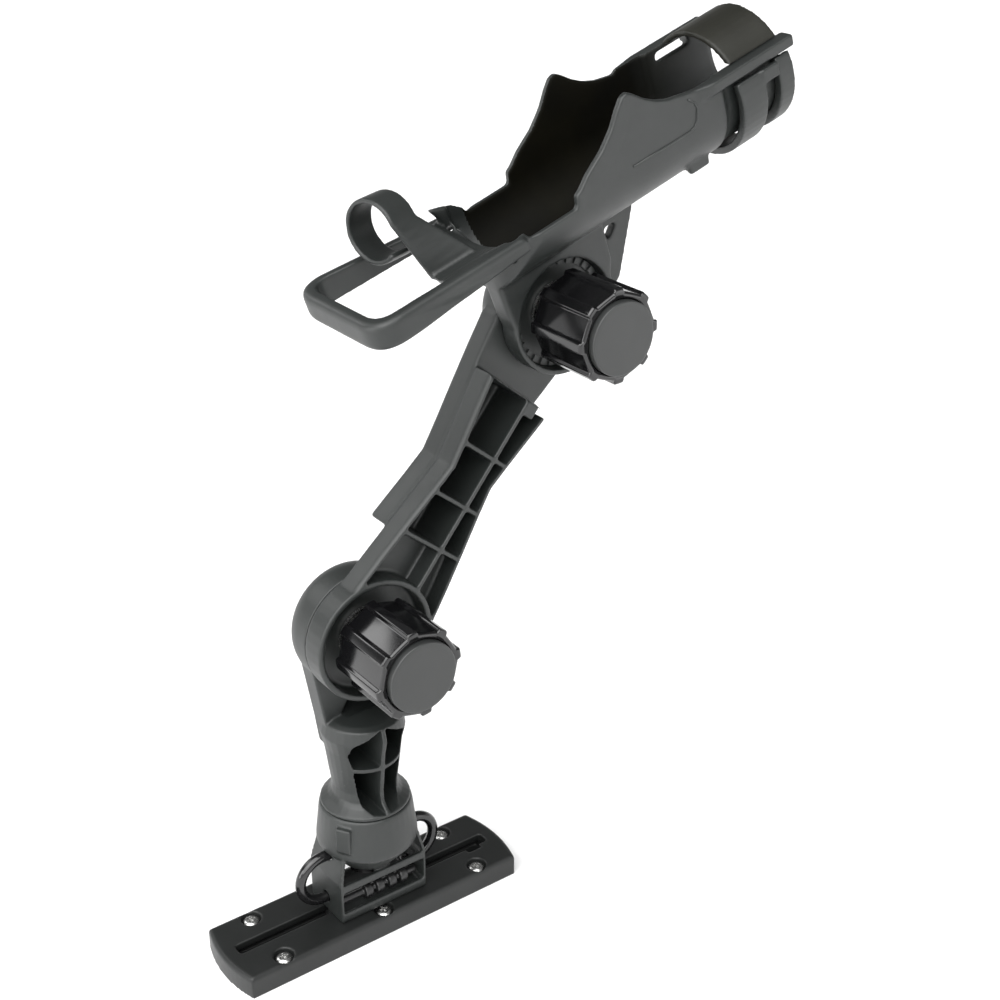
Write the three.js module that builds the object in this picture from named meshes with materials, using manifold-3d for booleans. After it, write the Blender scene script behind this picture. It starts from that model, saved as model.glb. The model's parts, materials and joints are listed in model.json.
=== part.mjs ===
// A rod holder on a slotted track: a sliding foot, a turning post, a two-joint arm and a cradle.
// Millimetres, +Z up. The origin is the centre of the track's underside, and +X runs along the track.

import * as THREE from 'three';
import { mergeVertices } from 'three/addons/utils/BufferGeometryUtils.js';
import Module from 'manifold-3d';

const wasm = await Module();
wasm.setup();

// ---- Driving dimensions ----------------------------------------------------------------------

const gap = 0.3;          // clearance between pieces that meet
const past = 4;           // how far a cutter runs past what it cuts
const degree = Math.PI / 180;

const track = {
  length: 171, width: 47, height: 12.7, endBulge: 4, bevel: 2,
  slotLength: 154, slotWidth: 7, undercutWidth: 14, undercutFloor: 3.2, lip: 4.5,
  notchMiddle: 67, notchLength: 8.7, notchWidth: 3
};
const screw = {
  spacing: 60, row: 17.2, headRadius: 4.5, headHeight: 2.4, shankRadius: 2.4,
  pocketRadius: 5.4, pocketDepth: 3.4, crossLength: 4.4, crossWidth: 1, crossDepth: 1.2
};
const foot = {
  centre: 2.2, length: 52.4, width: 32, wall: 2.4, floor: 3, sill: 5.4, barLow: 18.6, barHigh: 23,
  kneeHeight: 23, height: 40.5, topLength: 45, topWidth: 26
};
const bell = {
  skirtBottom: 24, skirtBottomRadius: 14.5, rimHeight: 38, rimRadius: 26.4, height: 61,
  topRadius: 23.9, padWidth: 8, padLow: 43, padHigh: 57.5, padTurn: -148, padProud: 0.9
};
const loop = {
  radius: 13, wire: 2.8, height: 21,
  offset: foot.length / 2 + 1.8, legEnd: foot.length / 2 - 5.7
};
const lockShaft = {
  radius: 2, knuckleRadius: 4.3, knuckleWidth: 4.6, knuckles: [-7, 0, 7.5, 14.5], y: -8.6, height: 8.6
};
const shoe = { length: foot.length - 4.4 };
const post = {
  spigotRadius: 10.4, spigotEnd: 2.4, flangeRadius: 23.4, flangeHeight: 1.6, waistRadius: 17,
  waistHeight: 9, neckRound: 4, neckDepth: 15, archHalf: 14, archHeight: 15,
  topRadius: 22, topHeight: 53, windowLow: 2.5, crossRib: 27.5, windowHigh: 44, windowPeak: 51.5,
  rib: 2.4, ribPitch: 1.2, windowBack: 12.5, windowHalfLow: 10.4, windowHalfHigh: 16
};
const ring = { drop: 0.6, thickness: 2.6, outerRadius: 12.9, grooveRadius: 8.2 };
const joint = {
  height: 98.2, offset: 2.2, lobeRadius: 32, lobeRearRadius: 25.6, lobeDepth: 20, domeStart: 8,
  boltRadius: 5, nutFlats: 17, nutHeight: 8, washerRadius: 16, washerThickness: 1.8
};
const arm = {
  length: 183.6, angle: 50.8, depth: 14, ringProud: 0.4, ringWall: 3.2, recessDepth: 10,
  waist: 15.3, rearReach: 40.8, frontReach: 47.2, scallopRadius: 45, pocketFloor: 11, wall: 2.4,
  rib: 2.3, longRib: 6.5, ribs: [-38.3, -14.3, 13], firstPocketFloor: -3, cornerLength: 9, cornerDepth: 12
};
const armRing = joint.lobeRadius + arm.ringProud;
const armRecess = armRing - arm.ringWall;
const knob = {
  start: 13.6, end: 51.6, panelRadius: 22.3, ribRadius: 24.1, ribWidth: 5.2, ribs: 8, hubRadius: 12,
  capRadius: 18.4, capStart: 50, capEnd: 55
};
const rail = { low: 11.7, rightTop: 17.7, leftTop: 21.2, rightReach: 4.6, leftReach: 3.4, taper: 14 };
const cradle = {
  tilt: 19.3, height: 58.3, outerRadius: 28.2, wall: 3.6, rimHeight: 95, nose: -31, noseWall: 5,
  lugDepth: 12, ringInset: 1, ringWall: 3, recessFloor: 4.2, lobeClearance: 0.6,
  journalStart: 109, rearWall: 5.6, railStart: 102, railEnd: 155.5, end: 149,
  lipBottom: 50, lipTips: 60.5, lipHalfWidth: 25
};
const lugRing = joint.lobeRadius - cradle.ringInset;
const lugRecess = lugRing - cradle.ringWall;
const teeth = { outerRadius: lugRecess - 0.4, innerRadius: lugRecess - 4, height: 2, count: 30 };
const bridge = { start: 118, end: 150, proud: 3.2, wall: 3 };
const collar = { start: 115, end: 131.6, wall: 4, to: 352, tabLength: 10, tabHeight: 7, tabDrop: 1.4 };
const endRing = { start: 142, end: 152, wall: 5.4, drop: 0.8 };
const handle = {
  top: 63, bottom: 49, farBottom: 54.5, nearSpread: 8, farSpread: 2.4, nearEnd: -108.6,
  sideways: 2.5, thickness: 6.6, farEnd: -19, cornerRadius: 15, round: 2.9
};
const strap = {
  radius: 15.9, thickness: 2.4, width: 16, sweep: 300, centre: [-71.8, 14.5, 79.3],
  along: [0.943, 0.245, -0.228], footNear: [-60.5, -7, 54], footFar: [-33.4, -9, 53.5]
};

// ---- Colours -----------------------------------------------------------------------------------

const nylon = { color: 0x1d2020, roughness: 0.55, metalness: 0 };
const trackNylon = { color: 0x151716, roughness: 0.5, metalness: 0 };
const glossBlack = { color: 0x050506, roughness: 0.12, metalness: 0 };
const satinBlack = { color: 0x1a1b1c, roughness: 0.45, metalness: 0 };
const stainless = { color: 0xb9babb, roughness: 0.25, metalness: 1 };

// ---- Solids ------------------------------------------------------------------------------------

// Turns a closed geometry into a solid, with its corners shared and its faces pointing out.
function solidOf(geometry) {
  const bare = geometry.clone();
  bare.deleteAttribute('normal');
  bare.deleteAttribute('uv');
  const merged = mergeVertices(bare, 1e-4);
  const points = merged.getAttribute('position').array;
  const index = merged.getIndex().array;
  const triangles = [];
  let volume = 0;
  const a = new THREE.Vector3();
  const b = new THREE.Vector3();
  const c = new THREE.Vector3();
  for (let i = 0; i < index.length; i += 3) {
    const [i0, i1, i2] = [index[i], index[i + 1], index[i + 2]];
    if (i0 === i1 || i1 === i2 || i2 === i0) continue;
    triangles.push(i0, i1, i2);
    b.fromArray(points, 3 * i1);
    c.fromArray(points, 3 * i2);
    volume += a.fromArray(points, 3 * i0).dot(b.cross(c));
  }
  if (volume < 0) triangles.reverse();
  return new wasm.Manifold(new wasm.Mesh({
    numProp: 3,
    vertProperties: new Float32Array(points),
    triVerts: new Uint32Array(triangles)
  }));
}

function geometryOf(solid) {
  const mesh = solid.getMesh();
  const geometry = new THREE.BufferGeometry();
  geometry.setAttribute('position', new THREE.BufferAttribute(new Float32Array(mesh.vertProperties), 3));
  geometry.setIndex(new THREE.BufferAttribute(new Uint32Array(mesh.triVerts), 1));
  geometry.computeVertexNormals();
  return geometry;
}

const join = (...solids) => solids.reduce((whole, piece) => whole.add(piece));
const cut = (whole, ...cutters) => cutters.reduce((rest, cutter) => rest.subtract(cutter), whole);

function box(x0, x1, y0, y1, z0, z1) {
  const geometry = new THREE.BoxGeometry(x1 - x0, y1 - y0, z1 - z0);
  return solidOf(geometry.translate((x0 + x1) / 2, (y0 + y1) / 2, (z0 + z1) / 2));
}

function outline(points) {
  return new THREE.Shape(points.map(([u, v]) => new THREE.Vector2(u, v)));
}

function disc(radius, u = 0, v = 0) {
  return new THREE.Shape().absarc(u, v, radius, 0, 2 * Math.PI);
}

// Extrudes a shape by depth; a rounding keeps the outline and takes the edges off inside it.
function extruded(shape, depth, rounding, steps) {
  const settings = { depth, bevelEnabled: false, curveSegments: steps };
  if (rounding > 0) {
    settings.depth = depth - 2 * rounding;
    settings.bevelEnabled = true;
    settings.bevelThickness = rounding;
    settings.bevelSize = rounding;
    settings.bevelOffset = -rounding;
    settings.bevelSegments = 2;
  }
  const geometry = new THREE.ExtrudeGeometry(shape, settings);
  return geometry.translate(0, 0, rounding);
}

// A prism along each axis. The shape lies in x-y, in x-z, or in y-z.
function alongZ(shape, z0, z1, rounding = 0, steps = 16) {
  return solidOf(extruded(shape, z1 - z0, rounding, steps).translate(0, 0, z0));
}

function alongY(shape, y0, y1, rounding = 0, steps = 16) {
  return solidOf(extruded(shape, y1 - y0, rounding, steps).rotateX(Math.PI / 2).translate(0, y1, 0));
}

function alongX(shape, x0, x1, rounding = 0, steps = 16) {
  const turn = new THREE.Matrix4().makeBasis(
    new THREE.Vector3(0, 1, 0), new THREE.Vector3(0, 0, 1), new THREE.Vector3(1, 0, 0));
  return solidOf(extruded(shape, x1 - x0, rounding, steps).applyMatrix4(turn).translate(x0, 0, 0));
}

// A turned piece: the profile holds [radius, height] and closes on the axis or on itself.
function turned(profile, steps = 40) {
  const points = profile.map(([radius, height]) => new THREE.Vector2(radius, height));
  return new THREE.LatheGeometry(points, steps).rotateX(Math.PI / 2);
}

const turnedZ = (profile, steps) => solidOf(turned(profile, steps));
const turnedY = (profile, steps) => solidOf(turned(profile, steps).rotateX(Math.PI / 2));
const turnedX = (profile, steps) => solidOf(turned(profile, steps).rotateY(Math.PI / 2));

function rodY(radius, y0, y1, steps = 32) {
  return alongY(disc(radius), y0, y1, 0, steps / 2);
}

// A piece made by sweeping a four-cornered section through given stations.
function lofted(stations) {
  const points = stations.flat(2);
  const index = [];
  for (let i = 0; i + 1 < stations.length; i += 1) {
    for (let j = 0; j < 4; j += 1) {
      const [p, q] = [4 * i + j, 4 * i + ((j + 1) % 4)];
      index.push(p, q, q + 4, p, q + 4, p + 4);
    }
  }
  const last = 4 * (stations.length - 1);
  index.push(0, 2, 1, 0, 3, 2, last, last + 1, last + 2, last, last + 2, last + 3);
  const geometry = new THREE.BufferGeometry();
  geometry.setAttribute('position', new THREE.Float32BufferAttribute(points, 3));
  geometry.setIndex(index);
  return solidOf(geometry);
}

const object = new THREE.Group();

function place(group, name, solid, finish) {
  const mesh = new THREE.Mesh(geometryOf(solid), new THREE.MeshStandardMaterial(finish));
  mesh.name = name;
  group.add(mesh);
  return mesh;
}

// ---- Track -------------------------------------------------------------------------------------

function trackOutline() {
  const [x, y] = [track.length / 2, track.width / 2];
  const shape = new THREE.Shape();
  shape.moveTo(track.endBulge - x, -y);
  shape.lineTo(x - track.endBulge, -y);
  shape.quadraticCurveTo(x + track.endBulge, 0, x - track.endBulge, y);
  shape.lineTo(track.endBulge - x, y);
  shape.quadraticCurveTo(-x - track.endBulge, 0, track.endBulge - x, -y);
  return shape;
}

const screwPlaces = [-1, 0, 1].flatMap((along) => [-1, 1].map(
  (side) => [along * screw.spacing, side * screw.row]));

function makeTrack() {
  const slot = track.slotLength / 2;
  const undercutTop = track.height - track.lip;
  let rail = alongZ(trackOutline(), -track.bevel, track.height, track.bevel, 12);
  rail = cut(rail,
    box(-track.length, track.length, -track.width, track.width, -past, 0),
    box(-slot, slot, -track.slotWidth / 2, track.slotWidth / 2, undercutTop - 1, track.height + past),
    box(-slot, slot, -track.undercutWidth / 2, track.undercutWidth / 2, track.undercutFloor, undercutTop));
  const notchStart = track.notchMiddle - track.notchLength / 2;
  rail = cut(rail, box(notchStart, notchStart + track.notchLength,
    -track.slotWidth / 2 - track.notchWidth, 0, undercutTop - 1, track.height + past));
  for (const [x, y] of screwPlaces) {
    const floor = track.height - screw.pocketDepth;
    rail = cut(rail,
      alongZ(disc(screw.pocketRadius, x, y), floor, track.height + past, 0, 12),
      alongZ(disc(screw.shankRadius + gap, x, y), -past, floor + 1, 0, 8));
  }
  return rail;
}

function makeScrew() {
  const head = track.height - screw.pocketDepth + gap;
  const rim = head + 0.9;
  const top = head + screw.headHeight;
  const body = turnedZ([
    [0, gap], [screw.shankRadius, gap], [screw.shankRadius, head], [screw.headRadius, head],
    [screw.headRadius, rim], [screw.headRadius * 0.8, top - 0.5], [screw.headRadius * 0.45, top], [0, top]
  ], 16);
  const [long, wide] = [screw.crossLength / 2, screw.crossWidth / 2];
  const depth = top - screw.crossDepth;
  return cut(body,
    box(-long, long, -wide, wide, depth, top + past),
    box(-wide, wide, -long, long, depth, top + past));
}

place(object, 'track_rail', makeTrack(), trackNylon);
screwPlaces.forEach(([x, y], number) => {
  const mesh = place(object, `track_screw_${number + 1}`, makeScrew(), stainless);
  mesh.position.set(x, y, 0);
});

// ---- Foot: an open frame and a bell-shaped socket, clamped to the track by a shoe -----------------

const footGroup = new THREE.Group();
footGroup.position.set(foot.centre, 0, track.height + gap);
object.add(footGroup);

function tapered(lowHalf, highHalf, low) {
  return outline([
    [-lowHalf, low], [lowHalf, low], [lowHalf, foot.kneeHeight], [highHalf, foot.height],
    [-highHalf, foot.height], [-lowHalf, foot.kneeHeight]
  ]);
}

function makeFrame() {
  const [x, y] = [foot.length / 2, foot.width / 2];
  const [topX, topY] = [foot.topLength / 2, foot.topWidth / 2];
  const w = foot.wall;
  let frame = alongY(tapered(x, topX, 0), -y, y, 1, 4)
    .intersect(alongX(tapered(y, topY, -past), -x - past, x + past));
  const hollow = alongY(tapered(x - w, topX - w, foot.floor), -y, y)
    .intersect(alongX(tapered(y - w, topY - w, foot.floor), -x, x));
  frame = cut(frame, hollow);
  const [winX, winTop] = [x - w + 0.8, topX - w + 0.4];
  const lower = outline([[-winX, foot.sill], [winX, foot.sill],
    [winX, foot.barLow], [-winX, foot.barLow]]);
  const upper = outline([[-winX, foot.barHigh], [winX, foot.barHigh],
    [winTop, foot.height - 0.6], [-winTop, foot.height - 0.6]]);
  return cut(frame, alongY(lower, -y - past, y + past), alongY(upper, -y - past, y + past));
}

function makeSocket() {
  const b = bell;
  const bore = post.spigotRadius + gap;
  const shell = turnedZ([
    [bore, b.skirtBottom], [b.skirtBottomRadius, b.skirtBottom], [b.rimRadius - 1, b.rimHeight - 1.4],
    [b.rimRadius, b.rimHeight], [b.rimRadius - 0.2, b.rimHeight + 4], [b.topRadius + 0.5, b.height - 3],
    [b.topRadius, b.height - 0.8], [b.topRadius - 0.8, b.height], [bore, b.height], [bore, b.skirtBottom]
  ], 36);
  const padReach = b.rimRadius + b.padProud;
  const pad = box(bore + 2, padReach, -b.padWidth / 2, b.padWidth / 2, b.padLow, b.padHigh)
    .rotate([0, 0, b.padTurn]);
  return join(shell, pad);
}

function makeFoot() {
  const bore = alongZ(disc(post.spigotRadius + gap), foot.floor + 1, bell.height + past, 0, 20);
  let piece = cut(join(makeFrame(), makeSocket()), bore);
  for (const side of [-1, 1]) {
    for (const height of [loop.height - loop.radius, loop.height + loop.radius]) {
      const hole = alongX(disc(loop.wire + gap, 0, height), 0, foot.length, 0, 8);
      const start = loop.legEnd - gap - 0.2;
      const reach = hole.translate([start, 0, 0]);
      piece = cut(piece, side > 0 ? reach : reach.mirror([1, 0, 0]));
    }
  }
  return piece;
}

function makeShoe() {
  const top = -gap;
  const flangeTop = -track.lip - 2 * gap;
  const flangeLow = track.undercutFloor - track.height;
  const [neck, flange] = [track.slotWidth / 2 - gap, track.undercutWidth / 2 - gap];
  const half = shoe.length / 2;
  return join(
    box(-half, half, -neck, neck, flangeTop - 1, top),
    box(-half, half, -flange, flange, flangeLow, flangeTop));
}

// A pull loop: a round bar bent to a half ring, with two straight legs into the frame.
function makeLoop() {
  const steps = 14;
  const path = new THREE.CurvePath();
  const bend = [];
  for (let i = 0; i <= steps; i += 1) {
    const angle = (i / steps - 0.5) * Math.PI;
    bend.push(new THREE.Vector3(
      loop.offset + loop.radius * Math.cos(angle), 0, loop.height + loop.radius * Math.sin(angle)));
  }
  const [first, last] = [bend[0], bend[steps]];
  path.add(new THREE.LineCurve3(new THREE.Vector3(loop.legEnd, 0, first.z), first));
  path.add(new THREE.CatmullRomCurve3(bend));
  path.add(new THREE.LineCurve3(last, new THREE.Vector3(loop.legEnd, 0, last.z)));
  const geometry = new THREE.ExtrudeGeometry(disc(loop.wire), {
    extrudePath: path, steps: 24, curveSegments: 4, bevelEnabled: false
  });
  return solidOf(geometry);
}

function makeLockShaft() {
  const s = lockShaft;
  const half = foot.length / 2 - foot.wall - gap;
  const profile = [[0, -half], [s.radius, -half]];
  for (const middle of s.knuckles) {
    const [start, end] = [middle - s.knuckleWidth / 2, middle + s.knuckleWidth / 2];
    profile.push([s.radius, start], [s.knuckleRadius - 1, start], [s.knuckleRadius, start + 1]);
    profile.push([s.knuckleRadius, end - 1], [s.knuckleRadius - 1, end], [s.radius, end]);
  }
  profile.push([s.radius, half], [0, half]);
  return turnedX(profile, 12).translate([0, s.y, s.height]);
}

place(footGroup, 'foot_frame', makeFoot(), nylon);
place(footGroup, 'slot_shoe', makeShoe(), satinBlack);
place(footGroup, 'lock_shaft', makeLockShaft(), satinBlack);
place(footGroup, 'pull_loop_right', makeLoop(), glossBlack);
place(footGroup, 'pull_loop_left', makeLoop().mirror([1, 0, 0]), glossBlack);

// ---- Post: a windowed column with the lower lobe, turning in the bell ---------------------------

const postGroup = new THREE.Group();
postGroup.position.set(foot.centre, 0, track.height + 2 * gap + bell.height);
object.add(postGroup);

// The lobe is flat in front, on the mating plane, and domed behind.
function makeLobe() {
  const { lobeRadius: r, lobeRearRadius: rear, lobeDepth: depth, domeStart } = joint;
  const profile = [[0, gap / 2], [r, gap / 2], [r, domeStart]];
  const steps = 3;
  for (let i = 1; i <= steps; i += 1) {
    const angle = (i / steps) * (Math.PI / 2);
    profile.push([rear + (r - rear) * Math.cos(angle), domeStart + (depth - domeStart) * Math.sin(angle)]);
  }
  profile.push([0, depth]);
  return turnedY(profile.map(([radius, y]) => [radius, -y]), 40);
}

function nutShape(clearance = 0) {
  const radius = (joint.nutFlats / 2 + clearance) / Math.cos(30 * degree);
  return outline([0, 1, 2, 3, 4, 5].map((corner) => [
    radius * Math.cos(corner * 60 * degree), radius * Math.sin(corner * 60 * degree)]));
}

const nutStart = joint.lobeDepth - joint.nutHeight - 1;

function lobeHoles() {
  return join(
    rodY(joint.boltRadius + gap, -past, joint.lobeDepth + past, 24),
    alongY(nutShape(gap), nutStart - gap, joint.lobeDepth + past));
}

function postWindows() {
  const p = post;
  const [inner, low, high] = [p.rib / 2, p.windowHalfLow, p.windowHalfHigh];
  const middle = low + (high - low) * 0.6;
  const [ribLow, ribHigh] = [p.crossRib - p.ribPitch, p.crossRib + p.ribPitch];
  const back = p.windowBack;
  const upper = outline([[inner, ribHigh], [middle, ribHigh], [high, p.windowHigh - 7],
    [high - 1, p.windowHigh], [inner, p.windowPeak]]);
  const lower = outline([[inner, p.windowLow - 1], [low - 3, p.windowLow], [low, p.windowLow + 3],
    [middle, ribLow], [inner, ribLow]]);
  const right = join(alongY(upper, -40, back), alongY(lower, -40, back));
  return join(right, right.mirror([1, 0, 0]));
}

function makePost() {
  const p = post;
  const spigotLow = bell.skirtBottom - bell.height - gap;
  const ringLow = spigotLow - ring.drop - ring.thickness;
  const column = turnedZ([
    [0, ringLow - p.spigotEnd], [p.spigotRadius - 1.2, ringLow - p.spigotEnd],
    [p.spigotRadius - 1.2, ringLow - gap], [ring.grooveRadius, ringLow - gap],
    [ring.grooveRadius, spigotLow - gap], [p.spigotRadius, spigotLow - gap],
    [p.spigotRadius, 0], [p.flangeRadius, 0], [p.flangeRadius, p.flangeHeight],
    [p.waistRadius + 2.2, p.flangeHeight + 3], [p.waistRadius + 0.4, p.waistHeight - 2],
    [p.waistRadius, p.waistHeight + 3], [p.waistRadius + 1.2, p.topHeight * 0.4],
    [p.topRadius - 2, p.topHeight * 0.68], [p.topRadius, p.topHeight * 0.84],
    [p.topRadius - 1.5, p.topHeight - 1.5], [p.topRadius - 5, p.topHeight], [0, p.topHeight + 3]
  ], 32);
  const { height, offset, lobeRadius: r } = joint;
  const neckLow = p.topHeight * 0.68;
  const neck = outline([
    [offset - r + 2.6, height - 9], [-p.topRadius + 1.2, p.topHeight - 2], [-p.topRadius + 3.2, neckLow],
    [p.topRadius - 3.2, neckLow], [p.topRadius - 1.2, p.topHeight - 2], [offset + r - 2.6, height - 9]
  ]);
  const plate = alongY(neck, -p.neckRound, p.neckDepth, p.neckRound, 8)
    .subtract(box(-100, 100, -100, gap / 2, 0, 200));
  let body = join(column, plate, makeLobe().translate([offset, 0, height]));
  const [archLow, archHigh] = [p.topHeight + 1, p.topHeight + p.archHeight];
  const arch = outline([[offset - p.archHalf, archLow], [offset + p.archHalf, archLow],
    [offset + p.archHalf * 0.6, archHigh - 5], [offset, archHigh],
    [offset - p.archHalf * 0.6, archHigh - 5]]);
  body = cut(body, postWindows(), alongY(arch, -past, p.windowBack),
    lobeHoles().translate([offset, 0, height]),
    rodY(armRing + 1.6, -60, gap / 2).translate([offset, 0, height]));
  return body;
}

// The split ring that keeps the spigot in the bell.
function makeRetainingRing() {
  const top = bell.skirtBottom - bell.height - 2 * gap - ring.drop;
  const inner = ring.grooveRadius + gap;
  const whole = turnedZ([
    [inner, top - ring.thickness + gap], [ring.outerRadius, top - ring.thickness + gap],
    [ring.outerRadius, top], [inner, top], [inner, top - ring.thickness + gap]
  ], 32);
  return cut(whole, box(-ring.outerRadius * 2, 0, -3, 3, top - 20, top + 20));
}

place(postGroup, 'post', makePost(), nylon);
place(postGroup, 'post_retaining_ring', makeRetainingRing(), stainless);

// ---- Joint hardware, shared by both joints: x along the joint, y through it ----------------------

// The floor of the recess that the knob's hub and washer sit in, given as a negative y.
function makeWasher(floor) {
  return cut(rodY(joint.washerRadius, floor - gap - joint.washerThickness, floor - gap),
    rodY(joint.boltRadius + gap, -60, 60, 24));
}

function makeNut() {
  return cut(alongY(nutShape(), nutStart, nutStart + joint.nutHeight),
    rodY(joint.boltRadius + gap / 2, -60, 60, 24));
}

function makeBolt() {
  const start = -knob.capStart + 3.5;
  return rodY(joint.boltRadius, start, nutStart + joint.nutHeight + 0.6, 24);
}

// The gripping part: a drum whose panels sit between ribs, with a hub towards the joint.
function knobOutline() {
  const shape = new THREE.Shape();
  const { panelRadius, ribRadius, ribWidth, ribs } = knob;
  const pitch = (2 * Math.PI) / ribs;
  const half = Math.asin(ribWidth / 2 / ribRadius);
  for (let i = 0; i < ribs; i += 1) {
    const angle = i * pitch;
    const start = angle - half;
    const end = angle + half;
    const point = (radius, turn) => [radius * Math.cos(turn), radius * Math.sin(turn)];
    if (i === 0) shape.moveTo(...point(panelRadius, start));
    shape.lineTo(...point(ribRadius, start + 0.03));
    shape.lineTo(...point(ribRadius, end - 0.03));
    shape.lineTo(...point(panelRadius, end));
    const next = angle + pitch - half;
    for (let k = 1; k <= 3; k += 1) {
      const turn = end + ((next - end) * k) / 4;
      shape.lineTo(...point(panelRadius - 0.5, turn));
    }
    if (i < ribs - 1) shape.lineTo(...point(panelRadius, next));
  }
  shape.closePath();
  return shape;
}

function makeKnob(floor) {
  const hubStart = floor - 2 * gap - joint.washerThickness;
  const drum = alongY(knobOutline(), -knob.end, -knob.start, 0.8);
  const hub = rodY(knob.hubRadius, -knob.start - 1, hubStart);
  return cut(join(drum, hub),
    rodY(joint.boltRadius + gap, -knob.capStart + 3, past, 24),
    rodY(knob.capRadius + gap, -knob.end - past, -knob.capStart + gap, 40));
}

function makeCap() {
  const { capRadius: r, capStart: start, capEnd: end } = knob;
  return turnedY([[0, start], [r, start], [r, end - 1], [r - 0.9, end - 0.1], [r - 2, end], [0, end]], 32);
}

function placeKnob(group, name, floor, turn) {
  place(group, `${name}_washer`, makeWasher(floor), stainless);
  const grip = place(group, `${name}_knob`, makeKnob(floor), glossBlack);
  grip.rotation.y = turn * degree;
  place(group, `${name}_knob_cap`, makeCap(), satinBlack);
  place(group, `${name}_bolt`, makeBolt(), stainless);
}

const lowerJoint = new THREE.Group();
lowerJoint.position.set(joint.offset, 0, joint.height);
postGroup.add(lowerJoint);

// ---- Arm: the front half holds the lower ring, the rear half the upper lobe ----------------------

const armGroup = new THREE.Group();
armGroup.rotation.y = -arm.angle * degree;
lowerJoint.add(armGroup);

// Half the arm's width at a distance from its middle, as [distance, half width] pairs.
const armMiddle = arm.length / 2;
const armTaper = [[0, 0], [0.163, 2.4], [0.381, 6], [0.6, 9.4], [0.763, 11.6], [0.861, 13.5]].map(
  ([share, spread]) => [share * armMiddle, arm.waist + spread]);
const frontEnd = armMiddle + arm.frontReach;
const rearStart = armMiddle - arm.rearReach;

function armOutline(start, end, inset = 0) {
  const stations = [];
  for (const [distance, half] of armTaper) {
    for (const side of distance === 0 ? [1] : [-1, 1]) {
      stations.push([armMiddle + side * distance, half - inset]);
    }
  }
  stations.sort((p, q) => p[0] - q[0]);
  const halfAt = (s) => {
    const found = stations.findIndex(([x]) => x >= s);
    const after = found < 0 ? stations.length - 1 : Math.max(1, found);
    const [[x0, h0], [x1, h1]] = [stations[after - 1], stations[after]];
    return h0 + ((h1 - h0) * (s - x0)) / (x1 - x0);
  };
  const inside = stations.filter(([x]) => x > start && x < end);
  const edge = [[start, halfAt(start)], ...inside, [end, halfAt(end)]];
  return outline([...edge.map(([x, h]) => [x, -h]), ...edge.reverse()]);
}

function armPockets() {
  const { ribs, rib, longRib, wall, depth, pocketFloor, firstPocketFloor } = arm;
  const ends = [armRing * 0.6, ...ribs.map((place) => armMiddle + place), frontEnd - 1];
  const pieces = [];
  for (let i = 0; i + 1 < ends.length; i += 1) {
    const start = i === 0 ? ends[0] : ends[i] + rib / 2;
    const end = i === ends.length - 2 ? ends[i + 1] : ends[i + 1] - rib / 2;
    const floor = i === 0 ? firstPocketFloor : pocketFloor;
    const bay = alongY(armOutline(start, end, wall), -depth - past, floor);
    pieces.push(cut(bay,
      box(start - 1, end + 1, -depth - 2 * past, floor + past, -longRib - rib / 2, -longRib + rib / 2)));
  }
  return cut(join(...pieces), rodY(armRing, -60, 60, 40));
}

function makeArm() {
  const { depth, recessDepth, length } = arm;
  const front = alongY(armOutline(joint.washerRadius, frontEnd), -depth, 1, 2.6, 4);
  const rear = alongY(armOutline(rearStart, length - 18), -1, depth, 2.6, 4);
  const lowRing = rodY(armRing, -depth, -gap / 2, 40);
  const lobe = makeLobe().translate([length, 0, 0]);
  const scallop = rodY(arm.scallopRadius, -60, gap / 2, 48).translate([length, 0, 0]);
  const nearLobe = rodY(joint.lobeRadius + 1.2, -gap / 2, 60, 40);
  const behind = box(-60, rearStart - 0.5, -gap / 2, 60, -60, 60);
  const inFront = box(frontEnd, length + 60, -60, gap / 2, -60, 60);
  const cornerHalf = arm.waist + 14;
  const corner = alongY(outline([
    [frontEnd - arm.cornerLength, -cornerHalf], [frontEnd + 2, -cornerHalf],
    [frontEnd + 2, -cornerHalf + 2 * arm.cornerDepth], [frontEnd - 1, -cornerHalf + arm.cornerDepth]
  ]), -60, gap / 2);
  let body = join(cut(join(front, lowRing), behind, corner), cut(join(rear, lobe), inFront));
  const recess = rodY(armRecess, -depth - past, recessDepth - depth, 40);
  body = cut(body, scallop, nearLobe, recess, armPockets(),
    rodY(joint.boltRadius + gap, -60, 60, 24), lobeHoles().translate([length, 0, 0]));
  return body;
}

const armFloor = arm.recessDepth - arm.depth;
place(armGroup, 'arm', makeArm(), nylon);
placeKnob(armGroup, 'lower', armFloor, -3);
place(lowerJoint, 'lower_nut', makeNut(), stainless);
const upperNut = place(armGroup, 'upper_nut', makeNut(), stainless);
upperNut.position.x = arm.length;

// ---- Cradle: x runs up the trough, z is square to it, and the origin is on the upper pivot --------

const cradleGroup = new THREE.Group();
cradleGroup.position.x = arm.length;
cradleGroup.rotation.y = (arm.angle - cradle.tilt) * degree;
armGroup.add(cradleGroup);

// A U section: a half round below the trough's axis, and upright walls above it.
function uShape(radius, top) {
  const shape = new THREE.Shape();
  shape.moveTo(radius, top);
  shape.lineTo(-radius, top);
  shape.lineTo(-radius, cradle.height);
  shape.absarc(0, cradle.height, radius, Math.PI, 2 * Math.PI);
  shape.lineTo(radius, top);
  return shape;
}

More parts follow.
